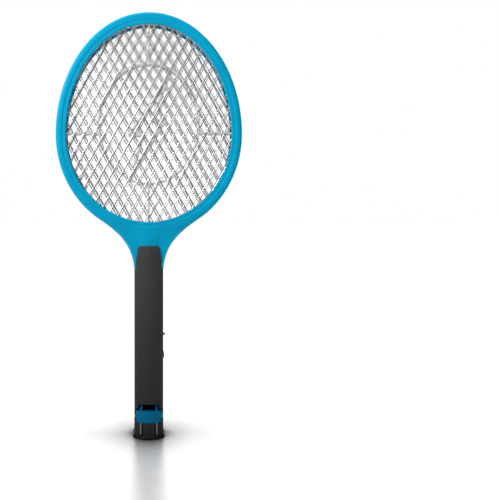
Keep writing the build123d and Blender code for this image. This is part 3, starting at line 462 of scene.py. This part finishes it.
# ---- head frame --------------------------------------------------------------------------
FRAME_SMOOTH = 40  # degrees
DEPTH_BLEND = 12 * MM  # the neck's depth starts to change this far below its foot
EDGE_FADE = (236 * MM, 268 * MM)  # the outer edge is rounder below, on the neck
EDGE_W, EDGE_W_NECK = 4.2 * MM, 7.0 * MM  # the second is added on the neck
EDGE_H, EDGE_H_NECK = 3.4 * MM, 3.6 * MM
STEP_W = 4.6 * MM  # the inner rim is a little lower than the band
STEP_RUN = 1.3 * MM
STEP_H = 0.55 * MM
LIP_W = 1.6 * MM
LIP_ROUND = 0.9 * MM
SEAT_D = -GUARD_LO.y + 0.05 * MM  # the lip ends just clear of the grid
HOLLOW_DROP = 3.4 * MM  # where the slanted outer corner of the hollow starts, and its size
HOLLOW_CUT_W = 2.5 * MM
HOLLOW_CUT_H = 2.6 * MM
SIDE_SHARES = (0.66, 0.33)  # rows down the outer side, as shares of its height
SEAM = ((0, 0.45), (0.3, 0.12), (0.55, 0))  # rows into the seam: inward and out of it, in mm

# rows of points across the band, in mm from the opening and from the outline
INNER_ROWS = (0, 0.12, 0.3, 0.55, 0.9, 1.6, 2.6, 3.8, 4.6, 4.85, 5.1, 5.4, 5.65, 5.9)
OUTER_ROWS = (5.2, 4.4, 3.7, 3.0, 2.4, 1.8, 1.3, 0.85, 0.5, 0.22, 0.07, 0)
MIDDLE_GAPS = 21  # gaps between the last inner row and the first outer one

CHUNK = 2000  # points measured at a time
TINY = 1e-18  # keeps two equal points of a line from dividing by zero


def distance_to(points, line):
    """Shortest distance from each point to a line of many short pieces."""
    a, b = line[:-1], line[1:]
    ab = b - a
    best = np.empty(len(points))
    for start in range(0, len(points), CHUNK):
        p = points[start:start + CHUNK, None, :]
        t = np.clip(((p - a) * ab).sum(2) / np.maximum((ab * ab).sum(1), TINY), 0, 1)
        gap = np.linalg.norm(p - a - t[..., None] * ab, axis=2)
        best[start:start + CHUNK] = gap.min(1)
    return best


def body_depth(z):
    """Half depth of head and neck at a height."""
    t = 1 - soft_step(z, NECK_FOOT_Z - DEPTH_BLEND, NECK_TOP_Z)
    return HEAD_D + (NECK_D - HEAD_D) * t


def front_height(points, rounded, inner_line):
    """Half depth of the front skin over the head and neck."""
    x, z = points[:, 0], points[:, 1]
    out = distance_to(points, rounded)
    into = distance_to(points, inner_line)
    in_neck = 1 - soft_step(z, *EDGE_FADE)
    edge_w = EDGE_W + EDGE_W_NECK * in_neck
    edge_h = EDGE_H + EDGE_H_NECK * in_neck
    height = body_depth(z) * crown(x, z) - edge_h * quarter_round(np.clip(1 - out / edge_w, 0, 1))
    height -= STEP_H * (1 - soft_step(into, STEP_W, STEP_W + STEP_RUN))
    return height - LIP_ROUND * quarter_round(np.clip(1 - into / LIP_ROUND, 0, 1))


def skin_rows(inner, direction, length):
    """Rows of points across the band, closer together where the skin bends."""
    start, stop = INNER_ROWS[-1] * MM, length - OUTER_ROWS[0] * MM
    shares = np.linspace(0, 1, MIDDLE_GAPS + 1)[1:-1]
    offsets = [d * MM for d in INNER_ROWS]
    offsets += [start + (stop - start) * share for share in shares]
    offsets += [length - d * MM for d in OUTER_ROWS]
    return [inner + direction * offset for offset in offsets]


def shell_section(inner, outer, rounded):
    """Rows of points with their depths, once round the wall of a shell."""
    length = np.linalg.norm(outer - inner, axis=1)[:, None]
    direction = (outer - inner) / length
    rows = skin_rows(inner, direction, length)
    heights = front_height(np.vstack(rows), rounded, np.vstack([inner, inner[:1]]))
    heights = heights.reshape(len(rows), -1)
    hollow = body_depth(outer[:, 1]) - WALL - HOLLOW_DROP
    lip = inner + direction * LIP_W
    section = [(inner, SEAT_D), *zip(rows, heights)]
    section += [(outer, heights[-1] * share) for share in SIDE_SHARES]
    section += [(outer - direction * inward * MM, depth * MM) for inward, depth in SEAM]
    section += [(outer - direction * WALL, 0),
                (outer - direction * WALL, hollow),
                (outer - direction * (WALL + HOLLOW_CUT_W), hollow + HOLLOW_CUT_H),
                (lip, HEAD_D - WALL), (lip, SEAT_D)]
    return section


def frame_shell(name, side):
    """One half of the blue frame. side is 1 at the front and -1 at the rear."""
    section = shell_section(*frame_loops())
    count = len(section[0][0])
    verts, faces = [], []
    for row, depths in section:
        for point, depth in zip(row, np.broadcast_to(depths, count)):
            verts.append((point[0], -side * depth, point[1]))
    for i in range(len(section)):
        here, there = i * count, (i + 1) % len(section) * count
        for k in range(count):
            m = (k + 1) % count
            quad = (here + k, here + m, there + m, there + k)
            faces.append(quad if side > 0 else quad[::-1])
    obj = object_from(name, verts, faces)
    smooth_by_angle(obj, FRAME_SMOOTH)
    return obj


WELL_R = 2.55 * MM
WELL_FLOOR = 7.6 * MM
WELL_STEPS = 32


def screw_centres(node):
    """Middle of every separate screw of a node, seen from the rear."""
    bm = welded(node)
    left, centres = set(bm.verts), []
    while left:
        screw, frontier = set(), [left.pop()]
        while frontier:
            vert = frontier.pop()
            screw.add(vert)
            near = {e.other_vert(vert) for e in vert.link_edges} & left
            left -= near
            frontier += near
        xs = [v.co.x for v in screw]
        zs = [v.co.z for v in screw]
        centres.append(((min(xs) + max(xs)) / 2, (min(zs) + max(zs)) / 2))
    bm.free()
    return sorted(centres)


def screw_wells(shell):
    """Round wells in the rear of the frame, each over a screw's head."""
    verts, faces = [], []
    for x, z in screw_centres("frame_screws"):
        start = len(verts)
        for y in (WELL_FLOOR, NECK_D + WALL):
            for turn in np.linspace(0, 2 * math.pi, WELL_STEPS, endpoint=False):
                verts.append((x + WELL_R * math.cos(turn), y, z + WELL_R * math.sin(turn)))
        low = range(start, start + WELL_STEPS)
        high = range(start + WELL_STEPS, start + 2 * WELL_STEPS)
        faces += [tuple(low), tuple(high)[::-1]]
        for i in range(WELL_STEPS):
            j = (i + 1) % WELL_STEPS
            faces.append((low[i], high[i], high[j], low[j]))
    cutter = object_from("wells", verts, faces)
    cut = shell.modifiers.new("wells", "BOOLEAN")
    cut.object = cutter
    cut.solver = "MANIFOLD"
    solved = shell.evaluated_get(bpy.context.evaluated_depsgraph_get())
    mesh = bpy.data.meshes.new_from_object(solved)
    shell.modifiers.remove(cut)
    shell.data = mesh
    bpy.data.objects.remove(cutter)
    smooth_by_angle(shell, FRAME_SMOOTH)
    return shell


# ---- grids -------------------------------------------------------------------------------
ROD_SMOOTH = 50  # degrees
DIAMOND_W = 12.0 * MM
DIAMOND_H = 21.3 * MM
STRAND_W = 1.35 * MM
STRAND_T = 0.85 * MM
STRAND_SIDES = 8
STRAND_MEAN, STRAND_SWELL = 1.08, 0.16  # width as a share of STRAND_W, and its change at a knuckle
SECTION_OUT, SECTION_FLAT = 1.15, 0.82  # the section's circle is blown up, then cut flat
RINGS_PER_KNUCKLE = 4  # rings of points from one knuckle to the next
FEWEST_RINGS = 3
TWIST = 24  # degrees by which the strands stand out of the sheet
LINES_EACH_WAY = 24
STRAND_OVERLAP = 1.0 * MM  # the strands stop this far inside the rim's outer edge
GRID_RIM = (2.6 * MM, RIM_OUT - 0.1 * MM)
GRID_RIM_HALF_T = 0.4 * MM
RIM_STEPS = 360
SEARCH_REACH = 0.2  # metres searched for the rim, to both sides of a line's start
SEARCH_POINTS = 4001
FEWEST_INSIDE = 4  # a line with fewer points inside the rim is left out


def inside_span(origin, along, half_w, up, down):
    """Where a line enters and leaves the rim's outline, as distances along it."""
    steps = np.linspace(-SEARCH_REACH, SEARCH_REACH, SEARCH_POINTS)
    points = origin + steps[:, None] * along
    tall = np.where(points[:, 1] >= CENTRE_Z, up, down)
    inside = (points[:, 0] / half_w) ** 2 + ((points[:, 1] - CENTRE_Z) / tall) ** 2 < 1
    if inside.sum() < FEWEST_INSIDE:
        return None
    found = steps[inside]
    return found[0], found[-1]


def strand_section(wide, thick):
    """Octagon with flattened sides, as (across, depth) pairs."""
    section = []
    for corner in range(STRAND_SIDES):
        angle = (2 * corner + 1) * math.pi / STRAND_SIDES
        u, v = (max(-SECTION_FLAT, min(SECTION_FLAT, part * SECTION_OUT))
                for part in (math.cos(angle), math.sin(angle)))
        section.append((wide * u, thick * v))
    return section


def strand(bm, origin, along, span, y, twist):
    """One strand of expanded metal: a flat bar that thickens at every knuckle."""
    across = np.array((-along[1], along[0]))
    knuckle = math.hypot(DIAMOND_W, DIAMOND_H) / 2
    count = max(FEWEST_RINGS, int((span[1] - span[0]) / (knuckle / RINGS_PER_KNUCKLE)))
    rings = []
    for at in np.linspace(span[0], span[1], count):
        point = origin + along * at
        phase = (point[1] - CENTRE_Z) / DIAMOND_H * 2 * math.pi
        wide = STRAND_W / 2 * (STRAND_MEAN + STRAND_SWELL * math.cos(2 * phase))
        ring = []
        for u, v in strand_section(wide, STRAND_T / 2):
            spot = point + across * (u * math.cos(twist) - v * math.sin(twist))
            depth = y + (u * math.sin(twist) + v * math.cos(twist))
            ring.append(bm.verts.new((spot[0], depth, spot[1])))
        rings.append(ring)
    skin_rings(bm, rings, closed=False)


def grid_rim(bm, y):
    """Flat ring under the frame that the strands run into."""
    inner, outer = GRID_RIM
    low, high = y - GRID_RIM_HALF_T, y + GRID_RIM_HALF_T
    loops = []
    for gap, depth in ((inner, low), (outer, low), (outer, high), (inner, high)):
        points = [rim_point(gap, d) for d in np.linspace(0, 360, RIM_STEPS, endpoint=False)]
        loops.append([bm.verts.new((p[0], depth, p[1])) for p in points])
    skin_rings(bm, loops, closed=True)


def grid(name, y, shift, facing):
    """Expanded-metal sheet at depth y. shift moves its diamonds, in pitches."""
    bm = bmesh.new()
    tilt = math.atan2(DIAMOND_H, DIAMOND_W)
    outward = RIM_OUT - STRAND_OVERLAP
    bounds = (OPEN_HALF_W + outward, OPEN_UP + outward, OPEN_DOWN + outward)
    for lean in (1, -1):
        along = np.array((math.cos(tilt), lean * math.sin(tilt)))
        for i in range(-LINES_EACH_WAY, LINES_EACH_WAY + 1):
            origin = np.array(((i + 0.5 + shift[0]) * DIAMOND_W, CENTRE_Z + shift[1] * DIAMOND_H))
            span = inside_span(origin, along, *bounds)
            if span:
                strand(bm, origin, along, span, y, facing * lean * math.radians(TWIST))
    grid_rim(bm, y)
    return object_from_bmesh(name, bm, ROD_SMOOTH)


# ---- braces ------------------------------------------------------------------------------
BRACE_FRONT = -BRACE_LO.y
BRACE_BACK = -BRACE_HI.y
BAR_ROUND = 0.45 * MM
RING_GAP = 3.5 * MM  # from the opening's edge to the middle of the outer ring
RING_W = 2.0 * MM
OVAL_Z = 372.5 * MM
OVAL_HALF_W = 60 * MM
OVAL_HALF_H = 72 * MM
OVAL_BAR_W = 2.8 * MM
OVAL_STEPS = 240
SPOKE_W = 2.4 * MM
SPOKE_Z = 361 * MM
SPOKE_REACH = 2.0 * MM  # past the opening's edge, into the outer ring
SPOKE_LOWER = 0.05 * MM  # the spokes stay below the face of the rings
BOLT_W = 3.2 * MM
BOLT = ((25.6, 60.8), (-23.1, -12.9), (-6.6, -13.5), (-22.0, -66.2), (20.0, 4.6), (3.0, 4.6))
BOLT_LOWER, BOLT_STAGGER = 0.1 * MM, 0.03 * MM  # no two of its bars share a face
BOLT_OVERLAP = 0.3  # share of the bar's width by which its ends pass the corners


def bar_section(width, lower=0.0):
    """Rounded rectangle across a bar whose faces lie lower than the brace's, as (across, depth)."""
    low, high = BRACE_BACK + lower, BRACE_FRONT - lower
    section = []
    for sign, depth, start in ((1, high, 0), (-1, high, 90), (-1, low, 180), (1, low, 270)):
        inset = BAR_ROUND if depth == low else -BAR_ROUND
        centre = np.array((sign * (width / 2 - BAR_ROUND), depth + inset))
        for step in (0, 30, 60, 90):
            angle = math.radians(start + step)
            section.append(centre + BAR_ROUND * np.array((math.cos(angle), math.sin(angle))))
    return section


def sweep(bm, path, section, side, closed=False):
    """Carry a section along a flat path and close the result."""
    path = np.array(path, float)
    count = len(path)
    rings = []
    for i in range(count):
        before = path[i - 1] if closed or i else path[i]
        after = path[(i + 1) % count] if closed or i < count - 1 else path[i]
        along = (after - before) / np.linalg.norm(after - before)
        across = np.array((-along[1], along[0]))
        spots = [(path[i] + across * u, depth) for u, depth in section]
        rings.append([bm.verts.new((p[0], -side * depth, p[1])) for p, depth in spots])
    skin_rings(bm, rings, closed)


def brace(name, side):
    """Moulded spacer: outer ring, oval, four spokes and a bolt. side is as for the shells."""
    bm = bmesh.new()
    turn = np.linspace(0, 360, OVAL_STEPS, endpoint=False)
    angle = np.radians(turn)
    oval = np.c_[OVAL_HALF_W * np.cos(angle), OVAL_Z + OVAL_HALF_H * np.sin(angle)]
    sweep(bm, oval, bar_section(OVAL_BAR_W), side, closed=True)
    ring = [rim_point(RING_GAP, degrees) for degrees in turn]
    sweep(bm, ring, bar_section(RING_W), side, closed=True)

    oval_side = OVAL_HALF_W * math.sqrt(1 - ((SPOKE_Z - OVAL_Z) / OVAL_HALF_H) ** 2)
    ring_side = OPEN_HALF_W + SPOKE_REACH
    ring_top, ring_foot = CENTRE_Z + OPEN_UP + SPOKE_REACH, CENTRE_Z - OPEN_DOWN - SPOKE_REACH
    for ends in (((oval_side, SPOKE_Z), (ring_side, SPOKE_Z)),
                 ((-oval_side, SPOKE_Z), (-ring_side, SPOKE_Z)),
                 ((0, OVAL_Z + OVAL_HALF_H), (0, ring_top)),
                 ((0, OVAL_Z - OVAL_HALF_H), (0, ring_foot))):
        sweep(bm, ends, bar_section(SPOKE_W, SPOKE_LOWER), side)

    corners = [np.array((x, z)) * MM + (0, OVAL_Z) for x, z in BOLT]
    for index, (a, b) in enumerate(zip(corners, corners[1:] + corners[:1])):
        past = (b - a) / np.linalg.norm(b - a) * BOLT_W * BOLT_OVERLAP
        section = bar_section(BOLT_W, BOLT_LOWER + BOLT_STAGGER * index)
        sweep(bm, (a - past, b + past), section, side)
    return object_from_bmesh(name, bm, ROD_SMOOTH)


# ---- rounded copies of CAD nodes ---------------------------------------------------------
COPY_SMOOTH = 35  # degrees
FLAT_DEGREES = 0.4  # faces closer to one plane than this are joined
SHARP_DEGREES = 32  # edges sharper than this are rounded
ROUNDING_STEPS = 3
CROWN_STRIPS = 24


def crown_front(bm, fade):
    """Cut flat faces into narrow strips, then curve what lies further forward than the fade."""
    for x in np.linspace(-NECK_HALF_W, NECK_HALF_W, CROWN_STRIPS + 1)[1:-1]:
        everything = bm.verts[:] + bm.edges[:] + bm.faces[:]
        bmesh.ops.bisect_plane(bm, geom=everything, plane_co=(x, 0, 0), plane_no=(1, 0, 0))
    for vert in bm.verts:
        share = float(soft_step(-vert.co.y, *fade))
        vert.co.y *= 1 - share * (1 - float(crown(vert.co.x, vert.co.z)))


def softened(node, width, crown_fade=None):
    """Put a copy in a CAD node's place, with its sharp edges rounded by width."""
    bm = welded(node)
    bmesh.ops.dissolve_limit(
        bm, angle_limit=math.radians(FLAT_DEGREES), verts=bm.verts, edges=bm.edges)
    if crown_fade:
        crown_front(bm, crown_fade)
    limit = math.radians(SHARP_DEGREES)
    sharp = [e for e in bm.edges if len(e.link_faces) == 2 and e.calc_face_angle(0) > limit]
    bmesh.ops.bevel(
        bm, geom=sharp, offset=width, offset_type="OFFSET", segments=ROUNDING_STEPS,
        profile=0.5, affect="EDGES", clamp_overlap=True, miter_outer="ARC",
        harden_normals=False)
    bmesh.ops.triangulate(bm, faces=[f for f in bm.faces if len(f.verts) > 4])
    dress(object_from_bmesh(node + "_look", bm, COPY_SMOOTH), node)


# ---- the object --------------------------------------------------------------------------
dress(frame_shell("front_frame", 1), "front_frame_shell")
dress(screw_wells(frame_shell("rear_frame", -1)), "rear_frame_shell")

GUARD_Y = (GUARD_LO.y + GUARD_HI.y) / 2
dress(grid("front_guard", GUARD_Y, (0, 0), 1), "front_guard_grid")
dress(grid("live_grid", 0.0, (0.5, 0.25), 1), "high_voltage_grid")
dress(grid("rear_guard", -GUARD_Y, (0, 0), -1), "rear_guard_grid")

dress(brace("front_spacer", 1), "front_brace")
dress(brace("rear_spacer", -1), "rear_brace")

HINGE_D = -JOINTS["plug_fold"]["pos_m"][1]
WHOLE_FRONT = (-1 * MM, 0)
PLUG_FRONT = (HINGE_D, HINGE_D + 5 * MM)  # what swings past the handle's shelf stays flat
CROWNED_EDGES = {"handle_front_shell": (0.35, WHOLE_FRONT), "end_cap": (0.35, WHOLE_FRONT),
                 "plug_block": (0.45, PLUG_FRONT)}
SOFT_EDGES = {"handle_rear_shell": 0.35, "plug_pin_left": 0.25, "plug_pin_right": 0.25,
              "push_button": 0.25, "slide_knob": 0.15}
for node, (width, fade) in CROWNED_EDGES.items():
    softened(node, width * MM, fade)
for node, width in SOFT_EDGES.items():
    softened(node, width * MM)

spring = new_object("button_spring_look", NODES["button_spring"].data.copy())
dress(spring, "button_spring")
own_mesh(spring)

REPLACED = {"front_frame_shell", "rear_frame_shell", "front_guard_grid", "high_voltage_grid",
            "rear_guard_grid", "front_brace", "rear_brace", "button_spring",
            *CROWNED_EDGES, *SOFT_EDGES}
for node, obj in NODES.items():
    if node not in REPLACED:
        slots = obj.data.materials
        if len(slots) == 0:
            slots.append(None)
        for index in range(len(slots)):
            slots[index] = MATERIALS[SLOT_OF[node]]


# ---- floor, light and camera -------------------------------------------------------------
FLOOR_REACH = 12.0
CONTACT_REACH = 0.08  # painted contact shadow: the floor's colour darkens this near the object, where it is hidden from the sky
CONTACT_RAYS = 16
CONTACT_STOPS = (0.62, 0.985)
CONTACT_SHADOW_GREY = (0.08, 0.08, 0.08)


def floor():
    """Polished white board that the racket stands on, with a painted contact shadow near it."""
    mesh = bpy.data.meshes.new("floor")
    signs = ((-1, -1), (1, -1), (1, 1), (-1, 1))
    corners = [(x * FLOOR_REACH, y * FLOOR_REACH, 0) for x, y in signs]
    mesh.from_pydata(corners, [], [(0, 1, 2, 3)])
    obj = new_object("floor", mesh)
    shader = Shader("floor_white", Metallic=0.5)
    white = shader.ramp(shader.noise(3), [(0.3, (0.9, 0.9, 0.9)), (0.7, (0.92, 0.92, 0.92))])
    contact = shader.nodes.new("ShaderNodeAmbientOcclusion")
    contact.inputs["Distance"].default_value = CONTACT_REACH
    contact.samples = CONTACT_RAYS
    # painted contact shadow: the floor's colour turns dark grey where nearby parts hide it from the
    # sky
    shade = shader.mask(contact.outputs["AO"], *CONTACT_STOPS)
    shader.colour(shader.mixed(shade, white, CONTACT_SHADOW_GREY))
    shader.roughness(shader.between(shader.noise(20), 0.3, 0.34))
    obj.data.materials.append(shader.material)


ROOM_DARK = 0.03  # strength where no lobe reaches
ROOM_LOBES = (  # direction, where it starts and ends along that direction, and its strength
    ((0, 1, 0), 0.5, 0.74, 1.25),
    ((-1, 0, 0), 0.3, 0.95, 0.15),
    ((0, 0, 1), 0.3, 0.95, 0.45),
)


def room_strength(nodes, links):
    """Brightness of the room in every direction: a dark base with soft lobes added."""
    coords = nodes.new("ShaderNodeTexCoord")
    total = None
    for direction, start, end, strength in ROOM_LOBES:
        toward = nodes.new("ShaderNodeVectorMath")
        toward.operation = "DOT_PRODUCT"
        toward.inputs[1].default_value = direction
        links.new(coords.outputs["Generated"], toward.inputs[0])
        lobe = nodes.new("ShaderNodeMapRange")
        lobe.interpolation_type = "SMOOTHSTEP"
        lobe.inputs["From Min"].default_value = start
        lobe.inputs["From Max"].default_value = end
        lobe.inputs["To Max"].default_value = strength
        links.new(toward.outputs["Value"], lobe.inputs["Value"])
        add = nodes.new("ShaderNodeMath")
        add.inputs[1].default_value = ROOM_DARK
        links.new(lobe.outputs["Result"], add.inputs[0])
        if total:
            links.new(total, add.inputs[1])
        total = add.outputs["Value"]
    return total


def studio():
    """Room bright behind, above and to the left, and dark in front. The camera sees white."""
    world = bpy.data.worlds.new("studio")
    bpy.context.scene.world = world
    world.use_nodes = True
    nodes, links = world.node_tree.nodes, world.node_tree.links
    nodes.clear()
    room = nodes.new("ShaderNodeBackground")
    paper = nodes.new("ShaderNodeBackground")
    for background in (room, paper):
        background.inputs["Color"].default_value = (1, 1, 1, 1)
    links.new(room_strength(nodes, links), room.inputs["Strength"])
    path = nodes.new("ShaderNodeLightPath")
    mix = nodes.new("ShaderNodeMixShader")
    out = nodes.new("ShaderNodeOutputWorld")
    links.new(path.outputs["Is Camera Ray"], mix.inputs["Fac"])
    links.new(room.outputs["Background"], mix.inputs[1])
    links.new(paper.outputs["Background"], mix.inputs[2])
    links.new(mix.outputs["Shader"], out.inputs["Surface"])
    bpy.context.scene.view_settings.view_transform = "Standard"


AREA_LIGHTS = {  # place, target, width and height, power in watts and spread in degrees
    "key": ((-0.62, -0.36, 0.76), (-0.02, 0, 0.40), (0.3, 0.26), 0.7, 58),
    "sheen": ((-0.24, -1.2, 0.85), (0, 0, 0.46), (0.45, 0.45), 0.15, 50),
}
OVERHEAD_POWER = 1.9
OVERHEAD_DEGREES = 9


def lights():
    for name, (place, target, size, power, spread) in AREA_LIGHTS.items():
        light = bpy.data.lights.new(name, "AREA")
        light.shape = "RECTANGLE"
        light.size, light.size_y = size
        light.energy = power
        light.spread = math.radians(spread)
        obj = new_object(name, light)
        obj.location = place
        aim = Vector(target) - Vector(place)
        obj.rotation_euler = aim.to_track_quat("-Z", "Y").to_euler()
    overhead = bpy.data.lights.new("overhead", "SUN")
    overhead.energy = OVERHEAD_POWER
    overhead.angle = math.radians(OVERHEAD_DEGREES)
    new_object("overhead", overhead)


EYE_DISTANCE = 0.650
EYE_HEIGHT = 0.2658
FOCAL_SHARE = 1.08  # focal length as a share of the picture's width
SHIFT_RIGHT = 0.2024  # the racket stands left of the middle of the picture
SHIFT_UP = -0.074  # and the eye is level with a point above the picture's middle


def camera():
    data = bpy.data.cameras.new("camera")
    data.lens = data.sensor_width * FOCAL_SHARE
    data.shift_x = SHIFT_RIGHT
    data.shift_y = SHIFT_UP
    data.dof.use_dof = False
    obj = new_object("camera", data)
    obj.location = (0, -EYE_DISTANCE, EYE_HEIGHT)
    obj.rotation_euler = (math.radians(90), 0, 0)
    bpy.context.scene.camera = obj


floor()
studio()
lights()
camera()
